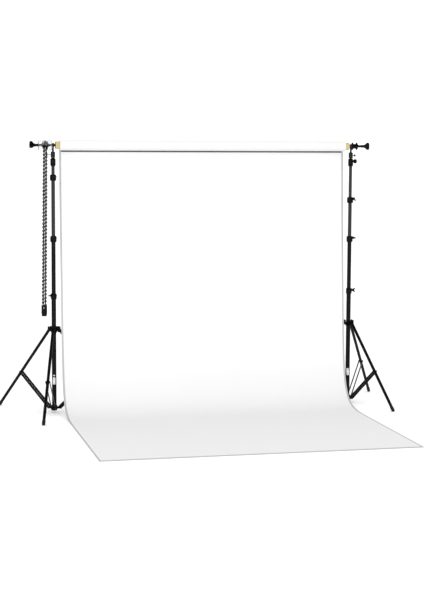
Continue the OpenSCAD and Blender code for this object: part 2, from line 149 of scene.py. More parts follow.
def make_surround():
    """An even white surround that is dimmer in reflections."""
    world = bpy.data.worlds.new("surround")
    world.use_nodes = True
    tree = world.node_tree
    background = tree.nodes["Background"]
    background.inputs["Color"].default_value = (1, 1, 1, 1)
    rays = tree.nodes.new("ShaderNodeLightPath").outputs
    reflected = tree.nodes.new("ShaderNodeMath")
    reflected.operation = "SUBTRACT"
    reflected.use_clamp = True
    tree.links.new(rays["Is Glossy Ray"], reflected.inputs[0])
    tree.links.new(rays["Is Transmission Ray"], reflected.inputs[1])
    strength = tree.nodes.new("ShaderNodeMapRange")
    strength.inputs["To Min"].default_value = SURROUND
    strength.inputs["To Max"].default_value = GLOSS_SURROUND
    tree.links.new(reflected.outputs["Value"], strength.inputs["Value"])
    tree.links.new(strength.outputs["Result"], background.inputs["Strength"])
    bpy.context.scene.world = world
    bpy.context.scene.view_settings.view_transform = "Standard"


def make_floor():
    """A pale floor, a hair below the feet and the paper."""
    mesh = bpy.data.meshes.new("floor")
    signs = [(-1, -1), (1, -1), (1, 1), (-1, 1)]
    mesh.from_pydata([(x * FLOOR_REACH, y * FLOOR_REACH, 0) for x, y in signs], [], [(0, 1, 2, 3)])
    floor = bpy.data.objects.new("floor", mesh)
    floor.location = (0, 0, -FLOOR_DROP)
    bpy.context.scene.collection.objects.link(floor)
    mesh.materials.append(MATERIALS["floor"])


# ---------- materials ----------

BLACK_SPECULAR = 0.10
TUBE_BLACK, TUBE_RUB = (0.0035, 0.0036, 0.0036), (0.02, 0.02, 0.02)
RISER_BLACK, RISER_RUB = (0.028, 0.030, 0.029), (0.08, 0.08, 0.078)
MOULD_BLACK, MOULD_SCUFF = (0.003, 0.003, 0.0032), (0.03, 0.03, 0.03)
COAT_BLACK, COAT_WORN = (0.008, 0.008, 0.0085), (0.12, 0.12, 0.125)
# Painted shade near the floor: the paper's tone is a share of the full one up to the first height,
# and full from the second.
LOW_PAPER, LOW_PAPER_TOP = 0.08, 0.5
LOW_SHADE_TONE = 0.895
# In radians per metre: the rings on the roll's end are 0.7 mm apart.
RING_WAVES = 9000


def grey(level):
    return (level, level, level)


class Surface:
    """A Principled material with helpers that add its detail."""

    def __init__(self, name, colour, roughness, metallic=0.0, **sockets):
        self.material = bpy.data.materials.new(name)
        self.material.use_nodes = True
        self.tree = self.material.node_tree
        self.shader = self.tree.nodes["Principled BSDF"]
        self.shader.inputs["Base Color"].default_value = (*colour, 1)
        self.shader.inputs["Roughness"].default_value = roughness
        self.shader.inputs["Metallic"].default_value = metallic
        for socket, value in sockets.items():
            self.shader.inputs[socket.replace("_", " ")].default_value = value
        self.coords = self.tree.nodes.new("ShaderNodeTexCoord").outputs["Object"]

    def add(self, kind, **settings):
        node = self.tree.nodes.new(kind)
        for key, value in settings.items():
            setattr(node, key, value)
        return node

    def link(self, source, target):
        self.tree.links.new(source, target)

    def stretched(self, scale):
        """Object coordinates with their own scale on each axis."""
        mapping = self.add("ShaderNodeMapping")
        mapping.inputs["Scale"].default_value = scale
        self.link(self.coords, mapping.inputs["Vector"])
        return mapping.outputs["Vector"]

    def noise(self, scale, detail=4, stretch=(1, 1, 1), roughness=0.55):
        node = self.add("ShaderNodeTexNoise")
        node.inputs["Scale"].default_value = scale
        node.inputs["Detail"].default_value = detail
        node.inputs["Roughness"].default_value = roughness
        self.link(self.stretched(stretch), node.inputs["Vector"])
        return node.outputs["Fac"]

    def spots(self, scale, stretch=(1, 1, 1)):
        node = self.add("ShaderNodeTexVoronoi")
        node.inputs["Scale"].default_value = scale
        self.link(self.stretched(stretch), node.inputs["Vector"])
        return node.outputs["Distance"]

    def remap(self, value, low, high, to_low=0.0, to_high=1.0):
        """value's stretch from low to high, spread over to_low to to_high."""
        node = self.add("ShaderNodeMapRange")
        sockets = ("From Min", "From Max", "To Min", "To Max")
        for socket, number in zip(sockets, (low, high, to_low, to_high)):
            node.inputs[socket].default_value = number
        self.link(value, node.inputs["Value"])
        return node.outputs["Result"]

    def maths(self, operation, one, two):
        node = self.add("ShaderNodeMath", operation=operation)
        for socket, value in zip(node.inputs, (one, two)):
            if isinstance(value, (int, float)):
                socket.default_value = value
            else:
                self.link(value, socket)
        return node.outputs["Value"]

    def mix(self, factor, one, two):
        """A colour between one and two, each a colour or a socket."""
        node = self.add("ShaderNodeMix", data_type="RGBA")
        self.link(factor, node.inputs["Factor"])
        for socket, value in zip((node.inputs[6], node.inputs[7]), (one, two)):
            if isinstance(value, tuple):
                socket.default_value = (*value, 1)
            else:
                self.link(value, socket)
        return node.outputs[2]

    def colour(self, socket):
        self.link(socket, self.shader.inputs["Base Color"])

    def rough(self, socket):
        self.link(socket, self.shader.inputs["Roughness"])

    def bump(self, *layers):
        """Stacks (height socket, depth in metres) layers into the shader's normal."""
        normal = None
        for height, depth in layers:
            node = self.add("ShaderNodeBump")
            node.inputs["Distance"].default_value = depth
            self.link(height, node.inputs["Height"])
            if normal:
                self.link(normal, node.inputs["Normal"])
            normal = node.outputs["Normal"]
        self.link(normal, self.shader.inputs["Normal"])


def lacquered_tube(name, dark, light, along=(1, 1, 0.02)):
    """Satin black lacquer with long rub marks, fine dust and a slight orange peel."""
    s = Surface(name, dark, 0.36, Specular_IOR_Level=BLACK_SPECULAR)
    rubs = s.noise(260, 3, along)
    dust = s.noise(38, 5)
    marks = s.remap(rubs, 0.62, 0.80)
    s.colour(s.mix(marks, dark, light))
    satin = s.remap(dust, 0.3, 0.7, 0.30, 0.44)
    s.rough(s.maths("ADD", satin, s.maths("MULTIPLY", marks, 0.15)))
    s.bump((s.noise(900, 2), 0.00004), (rubs, 0.00003))
    return s.material


def moulding(name, dark, light, roughness, grain=1400, depth=0.00012):
    """Black moulded plastic: a fine grain, patches of handling shine and pale scuffs."""
    s = Surface(name, dark, roughness, Specular_IOR_Level=BLACK_SPECULAR)
    patches = s.noise(60, 5)
    scuffs = s.remap(s.noise(420, 6, (1, 1, 0.5), 0.7), 0.66, 0.82)
    s.colour(s.mix(scuffs, dark, light))
    s.rough(s.remap(patches, 0.3, 0.7, roughness - 0.10, roughness + 0.12))
    s.bump((s.spots(grain), depth), (s.noise(150, 3), 0.00006))
    return s.material


def powder_coat():
    """Black powder coat: a fine pebble, with the metal showing through at worn spots."""
    s = Surface("powder_coat", COAT_BLACK, 0.45, Specular_IOR_Level=0.25)
    worn = s.remap(s.noise(300, 6, roughness=0.75), 0.69, 0.82)
    s.colour(s.mix(worn, COAT_BLACK, COAT_WORN))
    s.rough(s.remap(s.noise(80, 4), 0.3, 0.7, 0.38, 0.55))
    s.bump((s.noise(1500, 2), 0.00012))
    return s.material


def plated_steel(name, colour, roughness):
    """Plated metal with cloudy tarnish and fine pitting."""
    s = Surface(name, colour, roughness, metallic=1.0)
    tarnish = s.noise(180, 6)
    s.colour(s.mix(s.remap(tarnish, 0.35, 0.75), colour, tuple(0.55 * c for c in colour)))
    s.rough(s.remap(tarnish, 0.3, 0.7, roughness - 0.08, roughness + 0.14))
    s.bump((s.noise(2500, 2), 0.00003))
    return s.material


def rubber():
    """Matt black rubber with a dusty bloom."""
    s = Surface("rubber", (0.012, 0.012, 0.012), 0.8, Specular_IOR_Level=0.15)
    bloom = s.noise(90, 5)
    s.colour(s.mix(s.remap(bloom, 0.5, 0.85), (0.010, 0.010, 0.010), (0.045, 0.043, 0.041)))
    s.rough(s.remap(bloom, 0.3, 0.7, 0.7, 0.9))
    s.bump((s.spots(1100), 0.0001))
    return s.material


def cardboard():
    """Brown board: pressed fibres along the core and soft blotches."""
    s = Surface("cardboard", (0.50, 0.40, 0.20), 0.82, Specular_IOR_Level=0.2)
    fibres = s.noise(500, 6, (0.35, 1, 1))
    blotches = s.noise(22, 4)
    tone = s.mix(s.remap(blotches, 0.3, 0.7), (0.44, 0.36, 0.18), (0.56, 0.46, 0.25))
    s.colour(s.mix(s.remap(fibres, 0.55, 0.75, 0, 0.6), tone, (0.34, 0.26, 0.13)))
    s.bump((fibres, 0.0002), (blotches, 0.0003))
    return s.material


def paper(name, colour, deep):
    """Matt white stock, painted a little darker near the floor as shade, with a tooth, soft cockles
    and clouds.
    """
    s = Surface(name, colour, 0.88, Specular_IOR_Level=0.18, Sheen_Weight=0.05)
    clouds = s.noise(2.2, 4)
    tooth = s.noise(1400, 4, (0.6, 1, 1), 0.7)
    height = s.add("ShaderNodeSeparateXYZ")
    s.link(s.coords, height.inputs["Vector"])
    # Painted shade: the paper is darker towards the floor, fully below the first height.
    low = s.remap(height.outputs["Z"], LOW_PAPER, LOW_PAPER_TOP)
    tone = s.mix(s.remap(clouds, 0.3, 0.7), colour, deep)
    s.colour(s.mix(low, tuple(LOW_SHADE_TONE * c for c in colour), tone))
    s.rough(s.remap(tooth, 0.3, 0.7, 0.82, 0.95))
    s.bump((tooth, 0.00008), (s.noise(9, 3, (1, 0.5, 0.3)), 0.0006))
    return s.material


def wound_edge():
    """The roll's end face, where hundreds of wraps show as fine rings."""
    s = Surface("wound_edge", (0.80, 0.79, 0.77), 0.85, Specular_IOR_Level=0.15)
    radius = s.add("ShaderNodeVectorMath", operation="LENGTH")
    mapping = s.add("ShaderNodeMapping")
    mapping.inputs["Location"].default_value = (0, -AXIS.y, -AXIS.z)
    mapping.inputs["Scale"].default_value = (0, 1, 1)
    s.link(s.coords, mapping.inputs["Vector"])
    s.link(mapping.outputs["Vector"], radius.inputs[0])
    uneven = s.maths("MULTIPLY", s.noise(40, 2), 0.0006)
    wobble = s.maths("ADD", radius.outputs["Value"], uneven)
    rings = s.maths("SINE", s.maths("MULTIPLY", wobble, RING_WAVES), 0)
    shade = s.remap(rings, -1, 1)
    s.colour(s.mix(shade, (0.66, 0.65, 0.62), (0.88, 0.87, 0.85)))
    s.bump((shade, 0.0002))
    return s.material


def foil_label():
    """Dull foil, with its silver worn in small patches."""
    s = Surface("foil_label", (0.80, 0.80, 0.81), 0.36, metallic=0.35)
    wear = s.noise(300, 6)
    s.colour(s.mix(s.remap(wear, 0.58, 0.8), (0.82, 0.82, 0.83), (0.45, 0.45, 0.46)))
    s.rough(s.remap(wear, 0.3, 0.7, 0.28, 0.5))
    s.bump((s.noise(120, 3), 0.00015))
    return s.material


def clear_shell():
    """Clear plastic, slightly wavy."""
    s = Surface("clear_shell", (0.93, 0.95, 0.96), 0.06, Transmission_Weight=0.96, IOR=1.46)
    s.rough(s.remap(s.noise(60, 4), 0.3, 0.7, 0.03, 0.12))
    s.bump((s.noise(25, 2), 0.0002))
    return s.material


def pale_floor():
    """A clean, slightly uneven white floor."""
    s = Surface("pale_floor", (0.98, 0.98, 0.98), 0.7, Specular_IOR_Level=0.05)
    s.colour(s.mix(s.noise(0.8, 3), grey(0.985), grey(0.975)))
    return s.material


MATERIALS = {
    "tube": lacquered_tube("tube_lacquer", TUBE_BLACK, TUBE_RUB),
    "riser": lacquered_tube("riser_lacquer", RISER_BLACK, RISER_RUB),
    "leg": lacquered_tube("leg_lacquer", TUBE_BLACK, TUBE_RUB, (1, 1, 0.05)),
    "moulding": moulding("collar_moulding", MOULD_BLACK, MOULD_SCUFF, 0.46),
    "knob": moulding("knob_moulding", MOULD_BLACK, MOULD_SCUFF, 0.38, 2200, 0.00006),
    "holder": moulding(
        "holder_moulding", (0.003, 0.0032, 0.003), MOULD_SCUFF, 0.36, 1800, 0.00005
    ),
    "links": moulding("link_moulding", COAT_BLACK, grey(0.06), 0.42, 1800, 0.00005),
    "coat": powder_coat(),
    "zinc": plated_steel("dark_zinc", (0.06, 0.06, 0.063), 0.40),
    "rubber": rubber(),
    "cardboard": cardboard(),
    "paper": paper("seamless_paper", grey(0.765), grey(0.758)),
    # Painted shade: the roll is the sheet's own paper, painted darker so that its outline shows.
    "paper_wound_painted_shade": paper("wound_paper_painted_shade", grey(0.70), grey(0.69)),
    # Painted shade: a grey copy of the paper for the bands along its curled sides and front edge.
    "paper_edge_painted_shade": paper("paper_edge_painted_shade", grey(0.46), grey(0.40)),
    # Painted shadow: a near-black copy of the paper for the band just below the roll.
    "roll_painted_shadow": paper("roll_painted_shadow", (0.10, 0.10, 0.103), (0.08, 0.08, 0.083)),
    "wound_edge": wound_edge(),
    "foil": foil_label(),
    "clear": clear_shell(),
    "floor": pale_floor(),
}


# ---------- mesh helpers ----------


def new_object(name, bm, materials):
    """Makes a smooth-shaded object from a bmesh, with its normals outwards."""
    bmesh.ops.recalc_face_normals(bm, faces=bm.faces)
    mesh = bpy.data.meshes.new(name)
    bm.to_mesh(mesh)
    bm.free()
    for polygon in mesh.polygons:
        polygon.use_smooth = True
    for material in materials:
        mesh.materials.append(material)
    made = bpy.data.objects.new(name, mesh)
    bpy.context.scene.collection.objects.link(made)
    return made


def round_edges(piece, width, angle=32, segments=2):
    """Rounds a piece's sharp edges and evens out its shading."""
    weld = piece.modifiers.new("weld", "WELD")
    weld.merge_threshold = 0.00001
    bevel = piece.modifiers.new("round", "BEVEL")
    bevel.limit_method = "ANGLE"
    bevel.angle_limit = math.radians(angle)
    bevel.width = width
    bevel.segments = segments
    bevel.use_clamp_overlap = True
    shade = piece.modifiers.new("shade", "WEIGHTED_NORMAL")
    shade.keep_sharp = False
    shade.weight = 80


def lathe(bm, profile, steps, radius_at=None):
    """Turns a closed (r, z) profile about Z. radius_at(r, z, angle) may change the radius."""
    rings = []
    for i in range(steps):
        a = 2 * math.pi * i / steps
        ring = []
        for r, z in profile:
            rr = radius_at(r, z, a) if radius_at else r
            ring.append(bm.verts.new((rr * math.cos(a), rr * math.sin(a), z)))
        rings.append(ring)
    count = len(profile)
    for i in range(steps):
        here, there = rings[i], rings[(i + 1) % steps]
        for k in range(count):
            n = (k + 1) % count
            bm.faces.new((here[k], there[k], there[n], here[n]))
    bmesh.ops.remove_doubles(bm, verts=bm.verts, dist=1e-7)


def rounded(points, radius, steps=4):
    """A closed outline with each corner rounded by up to radius."""
    out = []
    count = len(points)
    for i in range(count):
        before, here, after = (Vector(points[j % count]) for j in (i - 1, i, i + 1))
        reach = min(radius, (before - here).length * 0.45, (after - here).length * 0.45)
        one = here + (before - here).normalized() * reach
        two = here + (after - here).normalized() * reach
        for k in range(steps + 1):
            t = k / steps
            out.append((1 - t) ** 2 * one + 2 * t * (1 - t) * here + t * t * two)
    return [tuple(p) for p in out]


def clamped(value):
    """value, kept between 0 and 1."""
    return min(1.0, max(0.0, value))


def pointing(direction, place):
    """A matrix that stands local +Z along direction, at place."""
    turn = Vector(direction).to_track_quat("Z", "Y").to_matrix().to_4x4()
    return Matrix.Translation(place) @ turn


def plate(name, outlines, thickness, edge, material):
    """A flat plate in local X-Y: the first outline is its rim, and any others are holes."""
    curve = bpy.data.curves.new(name, "CURVE")
    curve.dimensions = "2D"
    curve.fill_mode = "BOTH"
    curve.extrude = thickness / 2 - edge
    curve.bevel_depth = edge
    curve.bevel_resolution = 2
    curve.offset = -edge
    for outline in outlines:
        spline = curve.splines.new("POLY")
        spline.points.add(len(outline) - 1)
        for point, (x, y) in zip(spline.points, outline):
            point.co = (x, y, 0, 1)
        spline.use_cyclic_u = True
    shape = bpy.data.objects.new(name, curve)
    mesh = bpy.data.meshes.new_from_object(shape)
    bpy.data.objects.remove(shape)
    bm = bmesh.new()
    bm.from_mesh(mesh)
    bpy.data.meshes.remove(mesh)
    bmesh.ops.remove_doubles(bm, verts=bm.verts, dist=1e-6)
    return new_object(name, bm, [MATERIALS[material]])


def round_angles(steps):
    """Evenly spaced angles over one turn."""
    return [2 * math.pi * i / steps for i in range(steps)]


def circle(r, steps, centre=(0, 0)):
    x, y = centre
    return [(x + r * math.cos(a), y + r * math.sin(a)) for a in round_angles(steps)]


def joined(name, parts):
    """Joins meshes, modifiers applied, into one object."""
    bm = bmesh.new()
    materials = []
    graph = bpy.context.evaluated_depsgraph_get()
    graph.update()
    for part in parts:
        seen = part.evaluated_get(graph)
        mesh = bpy.data.meshes.new_from_object(seen)
        mesh.transform(part.matrix_world)
        slots = []
        for material in part.data.materials:
            if material not in materials:
                materials.append(material)
            slots.append(materials.index(material))
        for polygon in mesh.polygons:
            polygon.material_index = slots[polygon.material_index]
        bm.from_mesh(mesh)
        bpy.data.meshes.remove(mesh)
    for part in parts:
        bpy.data.objects.remove(part)
    mesh = bpy.data.meshes.new(name)
    bm.to_mesh(mesh)
    bm.free()
    for material in materials:
        mesh.materials.append(material)
    made = bpy.data.objects.new(name, mesh)
    bpy.context.scene.collection.objects.link(made)
    return made


# ---------- CAD nodes that stay ----------


def dress(node, material, edge):
    """Gives a CAD node its material and rounds its sharp edges."""
    piece = NODES[node]
    piece.data.materials.clear()
    piece.data.materials.append(MATERIALS[material])
    if "custom_normal" in piece.data.attributes:
        piece.data.attributes.remove(piece.data.attributes["custom_normal"])
    for polygon in piece.data.polygons:
        polygon.use_smooth = True
    round_edges(piece, edge)


def dress_nodes():
    """Every CAD node whose shape is right keeps it and gets its material."""
    for side in SIDES:
        dress(f"{side}_base_tube", "tube", 0.4 * MM)
        for i in (1, 2, 3):
            dress(f"{side}_riser_{i}", "tube" if i == 1 else "riser", 0.4 * MM)
            dress(f"{side}_leg_{i}", "leg", 0.8 * MM)
            dress(f"{side}_brace_{i}", "leg", 0.9 * MM)
        for part in ("base_clamp", "clamp_1", "clamp_2", "top_fitting", "leg_collar", "brace_hub"):
            dress(f"{side}_{part}", "moulding", 1.1 * MM)
        dress(f"{side}_hook", "coat", 1.2 * MM)
        dress(f"{side}_holder_shaft", "holder", 0.8 * MM)
    dress("grip_fingers", "rubber", 0.8 * MM)
    dress("chain_weight", "moulding", 1.5 * MM)
    dress("chain_guard", "clear", 0.3 * MM)


# ---------- knobs and screws ----------


def knob_frame(node, side):
    """Local +Z out of the column along the knob's axis, +Y up, the origin on the column's axis."""
    middle = Vector((*COLUMN[side], JOINTS[f"{node}_turn"]["pos_m"][2]))
    out = box_centre(node) - middle
    out.z = 0
    out.normalize()
    up = Vector((0, 0, 1))
    turn = Matrix((up.cross(out), up, out)).transposed().to_4x4()
    return Matrix.Translation(middle) @ turn


def thread(from_z, to_z, radius, pitch=1.6 * MM):
    """A lathe profile of a screw's thread."""
    count = max(2, round((to_z - from_z) / pitch))
    out = []
    for k in range(count):
        z = from_z + (to_z - from_z) * k / count
        out += [(radius * 0.86, z), (radius, z + pitch / 2)]
    return out + [(radius * 0.86, to_z)]


def turned(name, profile, steps, material, radius_at=None):
    """A lathed piece, with its profile in (r, z)."""
    bm = bmesh.new()
    lathe(bm, profile, steps, radius_at)
    return new_object(name, bm, [MATERIALS[material]])


def millimetres(points):
    return [(x * MM, z * MM) for x, z in points]


# Profiles are (distance from the screw's axis, distance from the column's axis), and the thumb
# pad's starts at its own foot.
SCREW_SHAFT_R = 4 * MM
WING_SIDE = millimetres([
    (0, 39), (9, 39), (13, 42), (18, 47.5), (20, 53), (19.6, 58.5),
    (16, 62.4), (11.5, 61.5), (8.8, 57), (6, 53.5), (0, 52),
])
WING_HUB_START = 35 * MM
WING_HUB = millimetres([(8.6, 35), (10, 36), (10, 43), (9, 44), (9, 50), (7, 53), (0, 53.5)])
WING_T, WING_EDGE = 7.4 * MM, 2.6 * MM
THUMB_PAD = millimetres([(0, 0), (4.6, 0), (4.2, 0.9), (2.2, 0.5), (0, 0.4)])
PAD_X, PAD_Y, PAD_Z = 13.8 * MM, 3.6 * MM, 53.5 * MM
ROUND_KNOB_START = 31 * MM
ROUND_KNOB = millimetres([
    (13.5, 31), (14.5, 32), (20, 38), (21, 40), (21, 51),
    (19.8, 53.4), (16.5, 54.6), (14.5, 57.6), (10, 59), (0, 58.4),
])
FLUTES, FLUTE_DEPTH, FLUTE_INNER_R = 8, 2.6 * MM, 17 * MM
KNURLS, KNURL_DEPTH, KNURL_INNER_R = 20, 0.7 * MM, 9.8 * MM
# Each wing's turn about its own screw, in degrees, from the base clamp up.
WING_TURNS = {"left": (90, 30, 60), "right": (0, 90, 35)}
LEG_WING_TURN = 20
# How far the hook screws' heads reach from the columns' axes, in millimetres.
HOOK_SCREW_REACH = {"left": 66, "right": 47}


def wing_screw(node, side, turn, tube_r):
    """A butterfly screw: a thread, a stepped hub and two rounded wings with thumb pads."""
    rod = [(0, tube_r + 0.4 * MM)] + thread(tube_r + 0.6 * MM, WING_HUB_START, SCREW_SHAFT_R)
    parts = [turned("hub", rod + WING_HUB, 32, "knob")]
    outline = rounded(WING_SIDE + [(-x, z) for x, z in reversed(WING_SIDE[1:-1])], 2 * MM, 3)
    wings = plate("wings", [outline], WING_T, WING_EDGE, "knob")
    wings.data.transform(Matrix.Rotation(math.pi / 2, 4, "X"))
    parts.append(wings)
    for x in (-PAD_X, PAD_X):
        for y in (-1, 1):
            pad = turned("pad", THUMB_PAD, 20, "knob")
            pad.data.transform(pointing((0, y, 0), (x, y * PAD_Y, PAD_Z)))
            parts.append(pad)
    piece = joined(f"{node}_wings", parts)
    piece.data.transform(knob_frame(node, side) @ Matrix.Rotation(turn - math.pi / 2, 4, "Z"))
    settle(piece, node, "knob", node)


def settle(piece, body, slot, *nodes):
    """Shades a finished piece, and says what it rides on and stands for."""
    for polygon in piece.data.polygons:
        polygon.use_smooth = True
    round_edges(piece, 0.35 * MM, 40)
    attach(piece, body)
    if nodes:
        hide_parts(*nodes)


def round_knob(side):
    """The fluted knob at the head of a stand."""
    node = f"{side}_top_knob"
    rod = [(0, 9 * MM)] + thread(9.2 * MM, ROUND_KNOB_START, SCREW_SHAFT_R)

    def flutes(r, z, angle):
        if r < FLUTE_INNER_R:
            return r
        return r - FLUTE_DEPTH * (0.5 + 0.5 * math.cos(FLUTES * angle)) ** 3

    piece = turned(f"{node}_fluted", rod + ROUND_KNOB, 96, "knob", flutes)
    piece.data.transform(knob_frame(node, side))
    settle(piece, node, "knob", node)


def hook_thumbscrew(side, reach):
    """The small knurled screw that holds the hook on its spigot, reach mm out of the column."""
    node = f"{side}_hook_screw"
    rod = [(0, 8.4 * MM)] + thread(8.8 * MM, (reach - 16) * MM, 3 * MM, 1.2 * MM)
    back = [(6, reach - 16), (7, reach - 15.4), (10.6, reach - 10.6), (11, reach - 9.5)]
    front = [(11, reach - 3.4), (10, reach - 1.6), (8, reach - 0.4), (0, reach)]
    head = millimetres(back + front)

    def knurl(r, z, angle):
        if r <= KNURL_INNER_R:
            return r
        return r - KNURL_DEPTH * (0.5 - 0.5 * math.cos(KNURLS * angle))

    piece = turned(f"{node}_knurled", rod + head, 120, "knob", knurl)
    piece.data.transform(knob_frame(node, side))
    settle(piece, node, "screw", node)


def make_knobs():
    """Every locking screw. Each wing screw ends at the tube that it grips."""
    names = ("base_knob", "knob_1", "knob_2")
    for side in SIDES:
        for name, turn, tube_r in zip(names, WING_TURNS[side], TUBE_R[1:]):
            wing_screw(f"{side}_{name}", side, math.radians(turn), tube_r)
        wing_screw(f"{side}_leg_knob", side, math.radians(LEG_WING_TURN), TUBE_R[0])
        round_knob(side)
    for side, reach in HOOK_SCREW_REACH.items():
        hook_thumbscrew(side, reach)


# ---------- small fittings ----------

# Each clamp's body, its knob, and how far from the column's axis its bolt stands, in millimetres.
CLAMPS = {
    "base_clamp": ("root", "base_knob", 26.7),
    "clamp_1": ("riser_1", "knob_1", 28.7),
    "clamp_2": ("riser_2", "knob_2", 28.7),
}
BOLT_ACROSS = 9 * MM
BOLT_TURN = math.radians(115)
BOLT_RISE = 7 * MM
# Each lip's part, body and outer radius, and its height above the part's foot, in millimetres.
LIPS = [
    ("base_clamp", "root", 27.9),
    ("clamp_1", "riser_1", 29.9),
    ("clamp_2", "riser_2", 29.9),
    ("top_fitting", "riser_3", 24.9),
]
LIP_RISE, LIP_HIGH, LIP_T = 14, 3, 1.6
# The way the labels face in degrees, and each label's foot and head in mm and width in degrees.
LABELS = {
    "left": (-100, ((262, 330, 72), (340, 352, 44))),
    "right": (-104, ((262, 330, 72),)),
}
LABEL_FACES = (21.04 * MM, 21.3 * MM)
LABEL_CORNER = 3 * MM
BOOT_R, BOOT_RIB_R, BOOT_MOUTH_R, BOOT_LONG = 15.6, 15.85, 14.2, 38


def hex_bolt(name, place, direction, across, body, slot):
    """A hexagon head on a washer."""

    def sized(points):
        return [(across * r, across * z) for r, z in points]

    washer = turned("washer", sized([(0, 0), (0.72, 0), (0.72, 0.1), (0, 0.12)]), 32, "zinc")
    outline = sized([(0, 0), (0.57, 0), (0.57, 0.42), (0.4, 0.5), (0, 0.5)])
    head = turned("head", rounded(outline, 0.4 * MM, 2), 6, "zinc")
    head.data.transform(Matrix.Translation((0, 0, across * 0.08)))
    piece = joined(name, [washer, head])
    piece.data.transform(pointing(direction, place))
    settle(piece, body, slot)


def make_clamp_bolts():
    """A pinch bolt on each clamp, part of the way round from its knob."""
    for side in SIDES:
        for clamp, (body, knob, radius) in CLAMPS.items():
            knob_out = box_centre(f"{side}_{knob}").xy - COLUMN[side]
            angle = math.atan2(knob_out.y, knob_out.x) + BOLT_TURN
            out = Vector((math.cos(angle), math.sin(angle), 0))
            low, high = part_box(f"{side}_{clamp}")
            middle = Vector((*COLUMN[side], (low.z + high.z) / 2 + BOLT_RISE))
            place = middle + out * (radius * MM)
            name = f"{side}_{clamp}_bolt"
            hex_bolt(name, place, out, BOLT_ACROSS, own_body(side, body), "screw")


def make_lips():
    """A raised lip round each clamp and top fitting, near its foot."""
    for side in SIDES:
        for part, body, r in LIPS:
            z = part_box(f"{side}_{part}")[0].z / MM + LIP_RISE
            inner = r - LIP_T
            profile = millimetres([(inner, z), (r, z), (r, z + LIP_HIGH), (inner, z + LIP_HIGH)])
            lip = turned(f"{side}_{part}_lip", rounded(profile, 0.8 * MM, 2), 64, "moulding")
            lip.data.transform(Matrix.Translation((*COLUMN[side], 0)))
            settle(lip, own_body(side, body), "moulding")


def label_mesh(middle, reach, foot, head, steps=24):
    """A thin closed shell, reach to each side of middle round the tube, with its corners cut."""
    bm = bmesh.new()
    grids = []
    for r in LABEL_FACES:
        grid = []
        for i in range(steps + 1):
            t = 2 * i / steps - 1
            inset = LABEL_CORNER * max(0.0, abs(t) - 0.9) / 0.1
            a = middle + reach * t
            x, y = r * math.cos(a), r * math.sin(a)
            grid.append([bm.verts.new((x, y, z)) for z in (foot + inset, head - inset)])
        grids.append(grid)
    inner, outer = grids
    for i in range(steps):
        for grid in grids:
            bm.faces.new((grid[i][0], grid[i + 1][0], grid[i + 1][1], grid[i][1]))
        for end in (0, 1):
            corners = inner[i][end], inner[i + 1][end], outer[i + 1][end], outer[i][end]
            bm.faces.new(corners)
    for i in (0, steps):
        bm.faces.new((inner[i][0], outer[i][0], outer[i][1], inner[i][1]))
    return bm


def make_labels():
    """Blank foil labels wrapped part of the way round the base tubes."""
    for side, (facing, spans) in LABELS.items():
        for k, (foot, head, width) in enumerate(spans):
            reach = math.radians(width) / 2
            bm = label_mesh(math.radians(facing), reach, foot * MM, head * MM)
            label = new_object(f"{side}_label_{k + 1}", bm, [MATERIALS["foil"]])
            label.data.transform(Matrix.Translation((*COLUMN[side], 0)))
            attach(label, "root")


def boot_profile():
    """A round end, two ribs and a narrower mouth, in (r, z) from the middle of the round end."""
    angles = [math.radians(a) for a in range(-75, 1, 15)]
    points = [(0, -BOOT_R)] + [(BOOT_R * math.cos(a), BOOT_R * math.sin(a)) for a in angles]
    for z in (8, 20):
        points += [(BOOT_R, z), (BOOT_RIB_R, z + 2), (BOOT_RIB_R, z + 4), (BOOT_R, z + 6)]
    points += [(BOOT_R, BOOT_LONG - 2), (BOOT_MOUTH_R, BOOT_LONG), (0, BOOT_LONG)]
    return millimetres(points)


def make_feet():
    """A ribbed rubber boot over each leg's end, cut flat where it stands on the floor."""
    for side in SIDES:
        for k in (1, 2, 3):
            hinge = Vector(JOINTS[f"{side}_leg_{k}_fold"]["pos_m"])
            out = Vector((*(hinge.xy - COLUMN[side]), 0)).normalized()
            foot = Vector((*COLUMN[side], FOOT_LIFT)) + out * FOOT_REACH
            pivot = Vector((*COLUMN[side], LEG_PIVOT_Z)) + out * LEG_PIVOT_R
            boot = turned(f"{side}_boot_{k}", boot_profile(), 40, "rubber")
            boot.data.transform(pointing(pivot - foot, foot))
            for vertex in boot.data.vertices:
                vertex.co.z = max(vertex.co.z, 0)
            settle(boot, f"{side}_leg_{k}", "moulding")


# ---------- roll holders ----------

FLANGE_R, FLANGE_Z, FLANGE_T = 36 * MM, 21.2 * MM, 3.4 * MM
NOTCHES, NOTCH_DEPTH = 18, 1.3 * MM
FLANGE_HOLES, HOLE_R, HOLES_AT_R = 9, 3.9 * MM, 28.5 * MM
# The holder's shaft has a radius of 11 mm.
FLANGE_BORE_R = 11.1 * MM
DRUM = millimetres([
    (11.1, -19.6), (22, -19.6), (21, -16), (20, -12),
    (20, 12), (21, 16), (22, 19.6), (11.1, 19.6),
])
RIB = millimetres([(-2, -19.5), (2, -19.5), (2, 19.5), (-2, 19.5)])
RIB_OUT, RIB_T = 19.4 * MM, 6 * MM
COLLAR_Z = 29
HOLDER_KNOB = millimetres([
    (4, 69.3), (12.4, 69.3), (13.2, 70.2), (13.2, 74), (12.2, 75), (12.2, 84), (13.2, 92),
    (15.5, 100), (19.5, 107), (25, 113), (29, 118), (30.4, 123), (30.4, 133), (29.2, 138),
    (26, 141.6), (20, 143.4), (15, 142.4), (13, 139.5), (9, 139), (8, 141.5), (0, 142),
])
# The radius where the lobes start and the one over which they grow, then the same on the face.
LOBE_START_R, LOBE_GROWTH, FACE_START_R, FACE_GROWTH = 12.5 * MM, 17 * MM, 14 * MM, 10 * MM
FACE_Z = 139 * MM
LOBE_DEPTH, LOBE_FLATTEN = 0.235, 0.02


